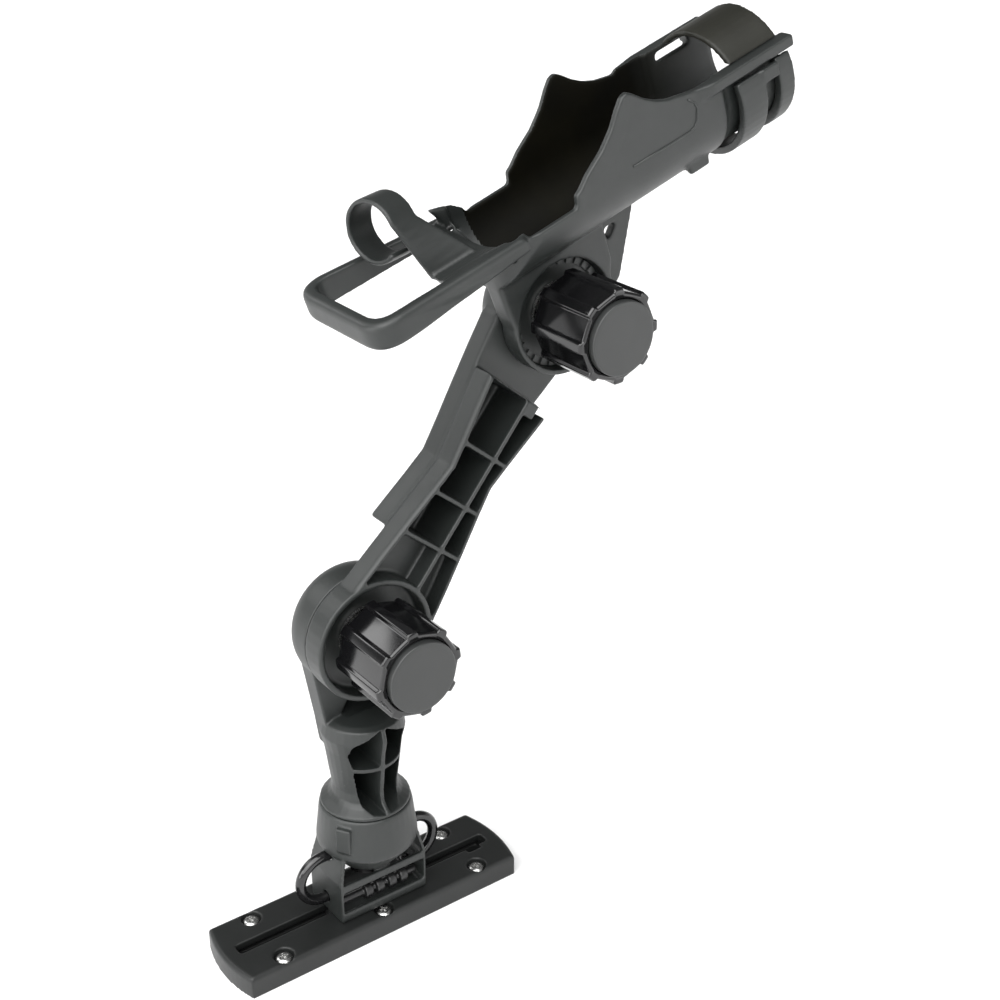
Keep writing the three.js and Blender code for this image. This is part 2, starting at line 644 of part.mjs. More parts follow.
// The rim seen from the side: low at the nose, a step, a tall horn, then the rails.
function aboveRim() {
  const c = cradle;
  const step = 13;
  const rim = [
    [c.nose + 9, 60.5], [c.nose + 13, 60], [c.nose + 15, 56.5], [step - 1, 56.5], [step, 62.5],
    [step + 3, 64], [22, 69], [33, 75.5], [41, 82.5], [46.5, 89.5], [50.5, 93.6], [54, 94.4],
    [57.5, 92], [63, 87], [69, 83], [76, 80], [87, 77.6], [c.railStart - 8, 76.4], [c.railEnd + past, 76.4]
  ];
  return outline([...rim, [c.railEnd + past, 140], [c.nose - past, 140], [c.nose - past, 60.5]]);
}

// The nose closes the trough's near end with a U-shaped lip.
function makeNose() {
  const { nose, outerRadius: r } = cradle;
  const plan = new THREE.Shape();
  plan.moveTo(nose + 24, -r);
  plan.quadraticCurveTo(nose - 6, -r * 0.9, nose, 0);
  plan.quadraticCurveTo(nose - 6, r * 0.9, nose + 24, r);
  const { lipBottom, lipTips, lipHalfWidth } = cradle;
  const rise = lipTips - lipBottom;
  const dishRadius = (lipHalfWidth ** 2 + rise ** 2) / (2 * rise);
  const dish = disc(dishRadius, 0, lipBottom + dishRadius);
  return alongZ(plan, 0, 100).intersect(alongX(uShape(r, 62), nose - 6, nose + 24))
    .subtract(alongX(dish, nose - past, nose + cradle.noseWall + 1, 0, 24));
}

function makeLug() {
  const { lugDepth, height } = cradle;
  const plate = outline([[cradle.nose - 1, height - 22], [cradle.nose, 14], [-28, -4],
    [28, -4], [34, 12], [34, height - 20]]);
  const gusset = outline([[30, height - 22], [30, -10], [40, -3], [57, 27],
    [59, height - 26], [59, height - 22]]);
  const opening = outline([[37.5, 25.5], [38.5, 17.5], [46.5, 25.5]]);
  return cut(
    join(alongY(plate, -lugDepth, -gap / 2, 1.4, 4), rodY(lugRing, -lugDepth, -gap / 2, 56),
      alongY(gusset, -6, -gap / 2)),
    alongY(opening, -20, 20));
}

function sector(radius, from, to, start, end) {
  const shape = new THREE.Shape();
  shape.moveTo(0, cradle.height);
  shape.absarc(0, cradle.height, radius, from * degree, to * degree);
  shape.lineTo(0, cradle.height);
  return alongX(shape, start, end, 0, 24);
}

function tubeShell(outer, inner, start, end) {
  return cut(alongX(disc(outer, 0, cradle.height), start, end, 0, 24),
    alongX(disc(inner, 0, cradle.height), start - past, end + past, 0, 24));
}

const innerRadius = cradle.outerRadius - cradle.wall;
const journalRadius = cradle.outerRadius - 1.6;
const rearInner = cradle.outerRadius - cradle.rearWall;
const collarInner = Math.hypot(journalRadius, rail.low) + gap;

function makeRails() {
  const { railStart, railEnd, end, height, outerRadius } = cradle;
  const [low, right, left] = [height + rail.low, height + rail.rightTop, height + rail.leftTop];
  const flare = (reach, stop) => outline([
    [railStart - rail.taper, outerRadius - 1], [railStart, journalRadius + reach],
    [stop, journalRadius + reach], [stop, rearInner], [railStart - rail.taper, rearInner]]);
  return join(
    alongZ(flare(rail.rightReach, railEnd), low, right).mirror([0, 1, 0]),
    alongZ(flare(rail.leftReach, railEnd - 6), low + 2, left),
    box(railStart, end, -journalRadius, -rearInner, height, right),
    box(railStart, end, rearInner, journalRadius, height, right));
}

function makeTrough() {
  const c = cradle;
  let body = join(
    alongX(uShape(c.outerRadius, c.rimHeight + past), c.nose + 20, c.journalStart, 0, 24),
    alongX(uShape(journalRadius, c.height + rail.rightTop), c.journalStart - 1, c.end, 0, 24), makeNose());
  const lipShape = outline([[c.nose - 5, 69], [c.nose + 9, 65], [c.nose + 15, 60],
    [c.nose + 18, 52], [c.nose + 8, 52], [c.nose + 1, 58]]);
  const raisedLip = alongY(lipShape, innerRadius - 2.6, innerRadius + 0.4, 0.9, 4);
  const keeper = box(86, 99, -20, -17, c.height - 26, c.height - 17);
  body = join(cut(body, alongY(aboveRim(), -60, 60)), makeRails(), makeLug(), raisedLip, keeper);
  const hollow = join(
    alongX(uShape(innerRadius, 140), c.nose + c.noseWall, c.journalStart - 3, 0, 24),
    alongX(uShape(rearInner, 140), c.nose + c.noseWall, c.railEnd + past, 0, 24));
  const slot = box(113, 135, rearInner - past, journalRadius + 8, c.height + 13.5, c.height + 18.4);
  const recess = rodY(lugRecess, -c.lugDepth - past, -c.recessFloor, 56);
  const relief = rodY(joint.lobeRadius + c.lobeClearance, -gap / 2, 60, 56);
  return cut(body, hollow, slot, recess, relief, wallGrooves(),
    rodY(joint.boltRadius + gap, -60, 60, 24));
}

// A shallow line cut into the right wall: one under the scalloped rim, one round the panel.
function groove(points, width) {
  const half = width / 2;
  const side = (sign) => points.map(([u, v], i) => {
    const [u0, v0] = points[Math.max(i - 1, 0)];
    const [u1, v1] = points[Math.min(i + 1, points.length - 1)];
    const run = Math.hypot(u1 - u0, v1 - v0);
    return [u - (sign * half * (v1 - v0)) / run, v + (sign * half * (u1 - u0)) / run];
  });
  return outline([...side(1), ...side(-1).reverse()]);
}

function wallGrooves() {
  const rimLine = [[15, 55.6], [27, 61], [38, 67.6], [46, 74.4], [51, 81], [53.6, 86.6], [56.5, 88.6]];
  const panelLine = [[46, 60], [84, 59.4], [88.6, 61.2], [89.6, 65], [87.2, 72]];
  const depth = cradle.outerRadius - 0.6;
  return join(...[rimLine, panelLine].map(
    (line) => alongY(groove(line, 0.9), -cradle.outerRadius - past, -depth)));
}

// Radial teeth on the floor of the upper recess.
function makeTeeth() {
  const floor = -cradle.recessFloor - gap;
  const flat = cut(rodY(teeth.outerRadius, floor - 1, floor, 40), rodY(teeth.innerRadius, -60, 60, 40));
  const pitch = 360 / teeth.count;
  const width = (Math.PI * teeth.innerRadius) / teeth.count;
  const tooth = box(teeth.innerRadius + 0.2, teeth.outerRadius - 0.2, floor - teeth.height, floor - 0.5,
    -width / 2, width / 2);
  const all = [];
  for (let i = 0; i < teeth.count; i += 1) all.push(tooth.rotate([0, i * pitch, 0]));
  return join(flat, ...all);
}

function makeBridge() {
  const { start, end, proud, wall } = bridge;
  const outerRadius = cradle.outerRadius + proud;
  const seats = join(
    box(0, 200, -60, 0, cradle.height + rail.rightTop + gap, 200),
    box(0, 200, 0, 60, cradle.height + rail.leftTop + gap, 200));
  return tubeShell(outerRadius, outerRadius - wall, start, end).intersect(seats);
}

// The turning collar, open at the top, with a hooked tab.
function makeCollar() {
  const { start, end, wall, to, tabLength, tabHeight, tabDrop } = collar;
  const inner = collarInner;
  const outer = inner + wall;
  const from = 180 - Math.asin((rail.low - tabDrop) / outer) / degree;
  let band = tubeShell(outer, inner, start, end);
  band = band.intersect(sector(outer + 5, from, to, start - 1, end + 1));
  const tabTop = cradle.height + rail.low - tabDrop;
  const tab = box(end - 1, end + tabLength, -outer, -outer + 3, tabTop - tabHeight, tabTop);
  return join(band, tab);
}

function makeEndRing() {
  const { start, end, wall, drop } = endRing;
  const outerRadius = journalRadius + wall;
  const rise = Math.asin((rail.low - drop) / outerRadius) / degree;
  return alongX(disc(outerRadius, 0, cradle.height), start, end, 0, 24)
    .intersect(sector(outerRadius + past, 180 - rise, 360 + rise, start - 1, end + 1))
    .subtract(alongX(uShape(journalRadius + gap, 140), start - past, end + past, 0, 24));
}

// ---- Handle loop: a bail round the near end ------------------------------------------------------

function bailShape(inset, start) {
  const h = handle;
  const near = cradle.outerRadius + h.nearSpread - inset;
  const far = cradle.outerRadius + h.farSpread + h.thickness * 0.4 - inset;
  const end = h.nearEnd + inset;
  const r = h.cornerRadius - inset * 0.8;
  const shape = new THREE.Shape();
  const [right, left] = [h.sideways - near, h.sideways + near];
  shape.moveTo(start, -far);
  shape.lineTo(end + r, right);
  shape.quadraticCurveTo(end, right, end, right + r);
  shape.lineTo(end, left - r);
  shape.quadraticCurveTo(end, left, end + r, left);
  shape.lineTo(start, far);
  return shape;
}

function makeHandle() {
  const h = handle;
  const outer = alongZ(bailShape(0, h.farEnd), h.bottom, h.top, h.round, 10);
  const inner = alongZ(bailShape(h.thickness, h.farEnd + past), h.bottom - past, h.top + past, 0, 10);
  const bend = h.nearEnd + h.cornerRadius;
  const under = alongY(outline([[bend, h.bottom - past], [bend, h.bottom], [cradle.nose, h.farBottom],
    [h.farEnd + past, h.farBottom + 1], [h.farEnd + past, h.bottom - past]]), -60, 60);
  const trough = alongX(uShape(cradle.outerRadius + gap, 140), cradle.nose + 2, 60, 0, 24);
  const nose = makeNose().translate([-gap, 0, 0]);
  return cut(outer, inner, trough, nose, under);
}

// ---- Strap: a tongue off the nose whose end rolls up into a curl --------------------------------

function strapStations() {
  const s = strap;
  const along = new THREE.Vector3(...s.along).normalize();
  const up = new THREE.Vector3(0, 1, 0).cross(along).negate().normalize();
  const side = up.clone().cross(along);
  const centre = new THREE.Vector3(...s.centre);
  const middle = s.radius - s.thickness / 2;
  const radial = (turn) => side.clone().multiplyScalar(Math.cos(turn)).addScaledVector(up, Math.sin(turn));
  const stations = [];
  const add = (near, far, normal) => {
    const out = normal.clone().multiplyScalar(s.thickness / 2);
    const corners = [near.clone().add(out), far.clone().add(out),
      far.clone().sub(out), near.clone().sub(out)];
    stations.push(corners.map((corner) => corner.toArray()));
  };
  const footNear = new THREE.Vector3(...s.footNear);
  const footFar = new THREE.Vector3(...s.footFar);
  const toFoot = footNear.clone().sub(centre);
  const flatFoot = new THREE.Vector2(toFoot.dot(side), toFoot.dot(up));
  const touchTurn = flatFoot.angle() - Math.acos(middle / flatFoot.length());
  const touch = radial(touchTurn);
  const touchNear = centre.clone().addScaledVector(touch, middle);
  const touchFar = touchNear.clone().addScaledVector(along, s.width);
  const straight = 6;
  for (let i = 0; i < straight; i += 1) {
    const share = i / straight;
    const near = footNear.clone().lerp(touchNear, share);
    add(near, footFar.clone().lerp(touchFar, share), touch);
  }
  const turns = 24;
  for (let i = 0; i <= turns; i += 1) {
    const direction = radial(touchTurn - (s.sweep * degree * i) / turns);
    const near = centre.clone().addScaledVector(direction, middle);
    add(near, near.clone().addScaledVector(along, s.width), direction);
  }
  return stations;
}

place(cradleGroup, 'cradle_trough', makeTrough(), nylon);
place(cradleGroup, 'upper_teeth', makeTeeth(), nylon);
place(cradleGroup, 'cradle_bridge', makeBridge(), nylon);
place(cradleGroup, 'lock_collar', makeCollar(), nylon);
place(cradleGroup, 'cradle_end_ring', makeEndRing(), nylon);
place(cradleGroup, 'handle_loop', makeHandle(), nylon);
place(cradleGroup, 'butt_strap', lofted(strapStations()), nylon);
placeKnob(cradleGroup, 'upper', -cradle.recessFloor, 16.8);

export default object;
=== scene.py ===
# A rod holder on a slotted deck track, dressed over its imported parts.
# Lengths in the pieces' dictionaries are in millimetres, and in metres for the floor, lamps and camera.
import bpy
import bmesh
import cmath
import json
import math
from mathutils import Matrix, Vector


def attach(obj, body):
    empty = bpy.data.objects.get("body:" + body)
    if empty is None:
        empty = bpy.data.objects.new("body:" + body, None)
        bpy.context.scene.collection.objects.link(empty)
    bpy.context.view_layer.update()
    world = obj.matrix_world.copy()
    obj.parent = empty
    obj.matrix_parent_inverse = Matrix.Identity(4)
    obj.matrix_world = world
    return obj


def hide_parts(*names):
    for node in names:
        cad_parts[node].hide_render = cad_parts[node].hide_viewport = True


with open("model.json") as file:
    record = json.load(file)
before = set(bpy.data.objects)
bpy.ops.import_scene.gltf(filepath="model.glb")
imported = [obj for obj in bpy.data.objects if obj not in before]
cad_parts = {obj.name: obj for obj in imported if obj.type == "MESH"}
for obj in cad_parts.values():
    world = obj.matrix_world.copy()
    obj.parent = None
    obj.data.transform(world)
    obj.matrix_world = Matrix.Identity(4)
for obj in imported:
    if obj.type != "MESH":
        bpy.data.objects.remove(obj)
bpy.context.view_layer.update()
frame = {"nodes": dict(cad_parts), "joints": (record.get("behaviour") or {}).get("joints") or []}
mm = 0.001
tiny = 0.0005  # mm, stands for a radius of nothing
nodes = frame["nodes"]
joints = {joint["name"]: joint for joint in frame["joints"]}
print("holder: frame loaded,", len(nodes), "parts")

lowerPivot = Vector(joints["arm_tilt"]["pos_m"])
upperPivot = Vector(joints["cradle_tilt"]["pos_m"])
postFoot = Vector(joints["post_turn"]["pos_m"])
troughAlong = Vector(joints["collar_turn"]["axis"]).normalized()
troughUp = Vector((-troughAlong.z, 0, troughAlong.x))
armAlong = (upperPivot - lowerPivot).normalized()
armUp = Vector((-armAlong.z, 0, armAlong.x))


def cradlePoint(along, across, up):  # mm from the upper pivot
    return upperPivot + mm * (along * troughAlong + up * troughUp) + Vector((0, across * mm, 0))


def armPoint(along, across, up):  # mm from the lower pivot
    return lowerPivot + mm * (along * armAlong + up * armUp) + Vector((0, across * mm, 0))


# Helpers for meshes

def addPiece(name, mesh, body, material, replaced=()):
    piece = bpy.data.objects.new(name, mesh)
    bpy.context.scene.collection.objects.link(piece)
    piece.data.materials.clear()
    piece.data.materials.append(material)
    for face in piece.data.polygons:
        face.use_smooth = True
    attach(piece, body)
    if replaced:
        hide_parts(*replaced)
    return piece


def meshOf(name, points, faces):
    mesh = bpy.data.meshes.new(name)
    mesh.from_pydata([tuple(point) for point in points], [], faces)
    work = bmesh.new()
    work.from_mesh(mesh)
    bmesh.ops.remove_doubles(work, verts=work.verts, dist=1e-6)
    bmesh.ops.recalc_face_normals(work, faces=work.faces)
    work.to_mesh(mesh)
    work.free()
    return mesh


def turnedMesh(name, profile, base, axis, steps=96):
    # profile: (radius, height) in mm, from axis to axis
    axis = Vector(axis).normalized()
    side = axis.orthogonal().normalized()
    other = axis.cross(side)
    points, faces = [], []
    for radius, height in profile:
        for step in range(steps):
            angle = 2 * math.pi * step / steps
            spread = side * math.cos(angle) + other * math.sin(angle)
            points.append(Vector(base) + mm * (max(radius, tiny) * spread + height * axis))
    for ringIndex in range(len(profile) - 1):
        for step in range(steps):
            a = ringIndex * steps + step
            b = ringIndex * steps + (step + 1) % steps
            faces.append((a, b, b + steps, a + steps))
    last = (len(profile) - 1) * steps
    faces.append(tuple(range(steps)))
    faces.append(tuple(range(last, last + steps)))
    return meshOf(name, points, faces)


def turnedRing(name, profile, base, steps=120):
    # a turned solid with a bore: the outline closes on itself
    points, faces = [], []
    for radius, height in profile:
        for step in range(steps):
            angle = 2 * math.pi * step / steps
            points.append(base + mm * Vector((radius * math.cos(angle), radius * math.sin(angle), height)))
    for index in range(len(profile)):
        following = (index + 1) % len(profile)
        for step in range(steps):
            after = (step + 1) % steps
            faces.append((index * steps + step, index * steps + after,
                          following * steps + after, following * steps + step))
    return meshOf(name, points, faces)


def roundedProfile(corners, radius, steps=5):
    # takes the inner corners of a turned outline off with arcs
    result = [corners[0]]
    for index in range(1, len(corners) - 1):
        before, here, after = (Vector(corners[index + shift]) for shift in (-1, 0, 1))
        toBefore, toAfter = before - here, after - here
        reach = min(radius, toBefore.length * 0.45, toAfter.length * 0.45)
        start = here + toBefore.normalized() * reach
        end = here + toAfter.normalized() * reach
        for step in range(steps + 1):
            share = step / steps
            point = start.lerp(here, share).lerp(here.lerp(end, share), share)
            result.append((point.x, point.y))
    result.append(corners[-1])
    return result


def tubeMesh(name, path, radius, steps=24):
    # a round bar of the given radius in mm along points in metres
    points, faces = [], []
    count = len(path)
    normal = None
    for index, point in enumerate(path):
        before = path[max(index - 1, 0)]
        after = path[min(index + 1, count - 1)]
        heading = (after - before).normalized()
        if normal is None:
            normal = heading.orthogonal().normalized()
        normal = (normal - heading * normal.dot(heading)).normalized()
        other = heading.cross(normal)
        for step in range(steps):
            angle = 2 * math.pi * step / steps
            points.append(point + mm * radius * (normal * math.cos(angle) + other * math.sin(angle)))
    for index in range(count - 1):
        for step in range(steps):
            a = index * steps + step
            b = index * steps + (step + 1) % steps
            faces.append((a, b, b + steps, a + steps))
    faces.append(tuple(range(steps)))
    faces.append(tuple(range((count - 1) * steps, count * steps)))
    return meshOf(name, points, faces)


def copyOf(node):
    return nodes[node].data.copy()


def evaluated(carrier):
    graph = bpy.context.evaluated_depsgraph_get()
    return bpy.data.meshes.new_from_object(carrier.evaluated_get(graph))


def moulded(name, meshes, skin):
    # one skin over several solids, with moulded radii
    work = bmesh.new()
    for mesh in meshes:
        work.from_mesh(mesh)
    whole = bpy.data.meshes.new(name)
    work.to_mesh(whole)
    work.free()
    whole.materials.clear()
    carrier = bpy.data.objects.new(name + "_carrier", whole)
    bpy.context.scene.collection.objects.link(carrier)

    def remesh(label):
        step = carrier.modifiers.new(label, "REMESH")
        step.mode = "VOXEL"
        step.voxel_size = skin["voxel"] * mm

    def shift(label, distance):
        step = carrier.modifiers.new(label, "DISPLACE")
        step.strength = distance * mm
        step.mid_level = 0

    remesh("skin")
    if "closing" in skin:  # closes the assembly gaps between the solids
        shift("swell", skin["closing"])
        remesh("close")
        shift("shrink", -skin["closing"])
    soften = carrier.modifiers.new("soften", "SMOOTH")
    soften.factor = 0.5
    soften.iterations = skin["smoothing"]
    result = evaluated(carrier)
    bpy.data.objects.remove(carrier)
    result.name = name
    print("holder:", name, len(result.polygons), "faces")
    return result


def bevelled(name, mesh, width):
    # a copy with its edges taken off by width mm
    carrier = bpy.data.objects.new(name + "_carrier", mesh)
    bpy.context.scene.collection.objects.link(carrier)
    weld = carrier.modifiers.new("weld", "WELD")
    weld.merge_threshold = 1e-6
    flatten = carrier.modifiers.new("flatten", "DECIMATE")
    flatten.decimate_type = "DISSOLVE"
    flatten.angle_limit = math.radians(1)
    edge = carrier.modifiers.new("edge", "BEVEL")
    edge.width = width * mm
    edge.segments = 3
    edge.limit_method = "ANGLE"
    edge.angle_limit = math.radians(32)
    result = evaluated(carrier)
    bpy.data.objects.remove(carrier)
    result.name = name
    return result


# Materials

def startMaterial(name):
    material = bpy.data.materials.new(name)
    material.use_nodes = True
    tree = material.node_tree
    shader = tree.nodes["Principled BSDF"]
    place = tree.nodes.new("ShaderNodeTexCoord")
    return material, tree, shader, place


def noiseOf(tree, place, scale, detail=3.0, stretch=None):
    noise = tree.nodes.new("ShaderNodeTexNoise")
    noise.inputs["Scale"].default_value = scale
    noise.inputs["Detail"].default_value = detail
    source = place.outputs["Object"]
    if stretch:
        mapping = tree.nodes.new("ShaderNodeMapping")
        mapping.inputs["Scale"].default_value = stretch
        tree.links.new(source, mapping.inputs["Vector"])
        source = mapping.outputs["Vector"]
    tree.links.new(source, noise.inputs["Vector"])
    return noise.outputs["Fac"]


def rampOf(tree, source, low, high, start=0.3, end=0.7):
    ramp = tree.nodes.new("ShaderNodeValToRGB")
    ramp.color_ramp.elements[0].position = start
    ramp.color_ramp.elements[1].position = end
    ramp.color_ramp.elements[0].color = (*low, 1)
    ramp.color_ramp.elements[1].color = (*high, 1)
    tree.links.new(source, ramp.inputs["Fac"])
    return ramp.outputs["Color"]


def rangeOf(tree, source, low, high):
    span = tree.nodes.new("ShaderNodeMapRange")
    span.inputs["To Min"].default_value = low
    span.inputs["To Max"].default_value = high
    tree.links.new(source, span.inputs["Value"])
    return span.outputs["Result"]


def bumpOf(tree, source, strength, distance, below=None):
    bump = tree.nodes.new("ShaderNodeBump")
    bump.inputs["Strength"].default_value = strength
    bump.inputs["Distance"].default_value = distance
    tree.links.new(source, bump.inputs["Height"])
    if below:
        tree.links.new(below, bump.inputs["Normal"])
    return bump.outputs["Normal"]


def rubbedColour(tree, colour, worn, amount):
    # rubbed edges: a little paler where the surface turns sharply
    turn = tree.nodes.new("ShaderNodeNewGeometry")
    mask = tree.nodes.new("ShaderNodeMapRange")
    mask.inputs["From Min"].default_value = 0.53
    mask.inputs["From Max"].default_value = 0.62
    mask.inputs["To Max"].default_value = amount
    tree.links.new(turn.outputs["Pointiness"], mask.inputs["Value"])
    mix = tree.nodes.new("ShaderNodeMix")
    mix.data_type = "RGBA"
    mix.inputs[7].default_value = (*worn, 1)
    tree.links.new(mask.outputs["Result"], mix.inputs[0])
    tree.links.new(colour, mix.inputs[6])
    return mix.outputs[2]


def fadeOf(tree, place, fade):
    # 0 to 1 along the trough, from the upper pivot
    across = tree.nodes.new("ShaderNodeVectorMath")
    across.operation = "DOT_PRODUCT"
    across.inputs[1].default_value = troughAlong
    tree.links.new(place.outputs["Object"], across.inputs[0])
    span = tree.nodes.new("ShaderNodeMapRange")
    start = upperPivot.dot(troughAlong)
    span.inputs["From Min"].default_value = start + fade["from"] * mm
    span.inputs["From Max"].default_value = start + fade["to"] * mm
    tree.links.new(across.outputs["Value"], span.inputs["Value"])
    return span.outputs["Result"]


def mouldedPlastic(name, look, fade=None):
    material, tree, shader, place = startMaterial(name)
    cloud = noiseOf(tree, place, look["cloudScale"], 4)
    colour = rampOf(tree, cloud, look["dark"], look["light"])
    # blends towards a second look along the trough; used to fade the painted trough shade out
    if fade:
        share = fadeOf(tree, place, fade)
        mix = tree.nodes.new("ShaderNodeMix")
        mix.data_type = "RGBA"
        tree.links.new(share, mix.inputs[0])
        tree.links.new(colour, mix.inputs[6])
        tree.links.new(rampOf(tree, cloud, fade["look"]["dark"], fade["look"]["light"]), mix.inputs[7])
        colour = mix.outputs[2]
    colour = rubbedColour(tree, colour, look["worn"], look["wornAmount"])
    tree.links.new(colour, shader.inputs["Base Color"])
    patch = noiseOf(tree, place, look["cloudScale"] * 3.1, 3)
    tree.links.new(rangeOf(tree, patch, look["smooth"], look["rough"]), shader.inputs["Roughness"])
    grain = noiseOf(tree, place, look["grainScale"], 2)
    wave = noiseOf(tree, place, look["waveScale"], 2)
    under = bumpOf(tree, wave, look["waveStrength"], 0.0006)
    tree.links.new(bumpOf(tree, grain, look["grainStrength"], 0.0001, under), shader.inputs["Normal"])
    shader.inputs["IOR"].default_value = 1.5
    shader.inputs["Specular IOR Level"].default_value = look["shine"]
    if fade:
        shine = rangeOf(tree, share, look["shine"], fade["look"]["shine"])
        tree.links.new(shine, shader.inputs["Specular IOR Level"])
    return material


nylonLook = {"dark": (0.0085, 0.0105, 0.0098), "light": (0.0135, 0.016, 0.015),
             "worn": (0.045, 0.048, 0.046), "wornAmount": 0.4, "smooth": 0.40, "rough": 0.52,
             "cloudScale": 28, "grainScale": 2600, "grainStrength": 0.35,
             "waveScale": 60, "waveStrength": 0.06, "shine": 0.62}
nylon = mouldedPlastic("matt_black_nylon", nylonLook)
# Painted shade: the trough's inside is near black with a brownish tint and little shine, standing in for the shade
# inside the trough; it fades back to plain nylon towards the bridge.
troughShadeLook = dict(nylonLook, dark=(0.0015, 0.0015, 0.001), light=(0.005, 0.0045, 0.0022),
                  wornAmount=0.15, smooth=0.5, rough=0.7, shine=0.08)
troughShadeFade = {"from": 96, "to": 142, "look": nylonLook}
troughPaintedShade = mouldedPlastic("trough_painted_shade", troughShadeLook, troughShadeFade)
trackLook = dict(nylonLook, dark=(0.007, 0.0078, 0.0075), light=(0.011, 0.012, 0.0116),
                 smooth=0.36, rough=0.48, shine=0.42)
trackNylon = mouldedPlastic("track_nylon", trackLook)
bridgeLook = dict(nylonLook, dark=(0.0095, 0.0095, 0.0065), light=(0.0145, 0.0145, 0.0105), shine=0.35)
bridgeNylon = mouldedPlastic("bridge_nylon", bridgeLook)
capLook = dict(nylonLook, dark=(0.018, 0.0195, 0.019), light=(0.024, 0.0255, 0.025),
               smooth=0.40, rough=0.48, grainStrength=0.25, waveStrength=0.02)
capPlastic = mouldedPlastic("satin_cap_plastic", capLook)
glossLook = dict(nylonLook, dark=(0.0025, 0.0025, 0.0028), light=(0.005, 0.005, 0.0055),
                 worn=(0.03, 0.03, 0.03), smooth=0.10, rough=0.2, grainStrength=0.03,
                 waveStrength=0.03, shine=0.7)
glossBlack = mouldedPlastic("gloss_black_plastic", glossLook)
satinLook = dict(nylonLook, dark=(0.006, 0.006, 0.0063), light=(0.011, 0.011, 0.0115),
                 smooth=0.3, rough=0.45)
satinBlack = mouldedPlastic("satin_black_plastic", satinLook)


def brushedMetal(name, look):
    material, tree, shader, place = startMaterial(name)
    lines = noiseOf(tree, place, look["lineScale"], 4, (1, 1, 14))
    tree.links.new(rampOf(tree, lines, look["dark"], look["light"]), shader.inputs["Base Color"])
    tree.links.new(rangeOf(tree, lines, look["smooth"], look["rough"]), shader.inputs["Roughness"])
    tree.links.new(bumpOf(tree, lines, look["lineStrength"], 0.00008), shader.inputs["Normal"])
    shader.inputs["Metallic"].default_value = 1
    return material


steelLook = {"dark": (0.42, 0.42, 0.41), "light": (0.58, 0.58, 0.57), "smooth": 0.18, "rough": 0.34,
             "lineScale": 900, "lineStrength": 0.12}
steel = brushedMetal("stainless_steel", steelLook)
dullLook = dict(steelLook, dark=(0.02, 0.02, 0.02), light=(0.04, 0.04, 0.04), rough=0.6)
dullSteel = brushedMetal("dull_steel", dullLook)
print("holder: materials made")

for nodeName, node in nodes.items():  # parts that show as packed
    finish = satinBlack
    if any(word in nodeName for word in ("screw", "washer", "bolt", "nut")):
        finish = steel
    if nodeName == "post_retaining_ring":
        finish = dullSteel
    if nodeName == "upper_teeth":
        finish = nylon
    node.data.materials.clear()
    node.data.materials.append(finish)

# Cradle: trough, strap with its curl, handle loop

strapWeb = {"thickness": 2.4, "sag": 1.2,  # from the strap to the trough's lip
            "lip": [(-27.5, -12, 53), (-28.5, -2, 52.2), (-29, 8, 52.2), (-29.5, 16, 53.4),
                    (-30.5, 22, 55.4), (-24.5, 28, 58.5)],
            "strap": [(-37, -8.6, 55.6), (-43, -5, 60), (-47, 0, 64), (-50, 3.4, 68),
                      (-52.6, 5.6, 71.6), (-37, 25.5, 59)]}
barWeb = {"thickness": 2.4, "sag": 1.2,  # from the strap to the handle's near bar
          "lip": [(-64, -23.5, 59.5), (-52, -23.8, 59.5), (-40, -24.2, 59.8), (-27, -24.5, 59)],
          "strap": [(-59.5, -7, 54.4), (-50, -7.8, 54.4), (-40, -8.6, 54.6), (-28, -10, 53)]}


def webMesh(name, web):
    # a sheet of even thickness between two edges, with a dip along its middle
    half = troughUp * mm * web["thickness"] / 2
    dip = troughUp * mm * web["sag"]
    points, faces = [], []
    for near, far in zip(web["strap"], web["lip"]):
        near, far = cradlePoint(*near), cradlePoint(*far)
        row = [near, (near + far) / 2 - dip, far]
        points += [point + half for point in row] + [point - half for point in row]
    wide = 3  # points across the sheet, on each of its two sides
    last = (len(web["lip"]) - 1) * 2 * wide
    for a in range(0, last, 2 * wide):
        b = a + 2 * wide
        for column in range(wide - 1):
            below = wide + column
            faces.append((a + column, a + column + 1, b + column + 1, b + column))
            faces.append((a + below, b + below, b + below + 1, a + below + 1))
        faces.append((a, b, b + wide, a + wide))
        faces.append((a + wide - 1, a + 2 * wide - 1, b + 2 * wide - 1, b + wide - 1))
    for column in range(wide - 1):
        below = wide + column
        faces.append((column, below, below + 1, column + 1))
        faces.append((last + column, last + column + 1, last + below + 1, last + below))
    return meshOf(name, points, faces)


handleShape = {"middle": 2.5, "width": 0.984, "from": -44, "over": 12, "drop": 3.2, "inward": 0.9}


def sunkHandle(mesh, size):
    # a little narrower, and its rear ends sink into the trough wall
    middle = size["middle"] * mm
    for vertex in mesh.vertices:
        vertex.co.y = middle + (vertex.co.y - middle) * size["width"]
        along = (vertex.co - upperPivot).dot(troughAlong) / mm
        past = min(max((along - size["from"]) / size["over"], 0), 1)
        vertex.co -= troughUp * mm * past * size["drop"]
        vertex.co.y *= 1 - past * (1 - size["inward"])
    return mesh


cradleSkin = {"voxel": 0.75, "smoothing": 7, "closing": 0.45}
cradleSolids = [copyOf("cradle_trough"), sunkHandle(copyOf("handle_loop"), handleShape),
                copyOf("butt_strap"), webMesh("strap_web", strapWeb), webMesh("bar_web", barWeb)]
cradleMesh = moulded("cradle_shell", cradleSolids, cradleSkin)
cradleShell = addPiece("cradle_shell", cradleMesh, "cradle", nylon,
                       ("cradle_trough", "handle_loop", "butt_strap"))
# the second slot holds the painted shade for the trough's inside
cradleShell.data.materials.append(troughPaintedShade)

# Where the painted shade goes: faces inside the trough that face its middle.
troughShadeArea = {"middle": 58.3, "radius": 26.2, "start": -17, "end": 146, "halfWidth": 25.4,
               "floor": 28, "facing": 0.35}


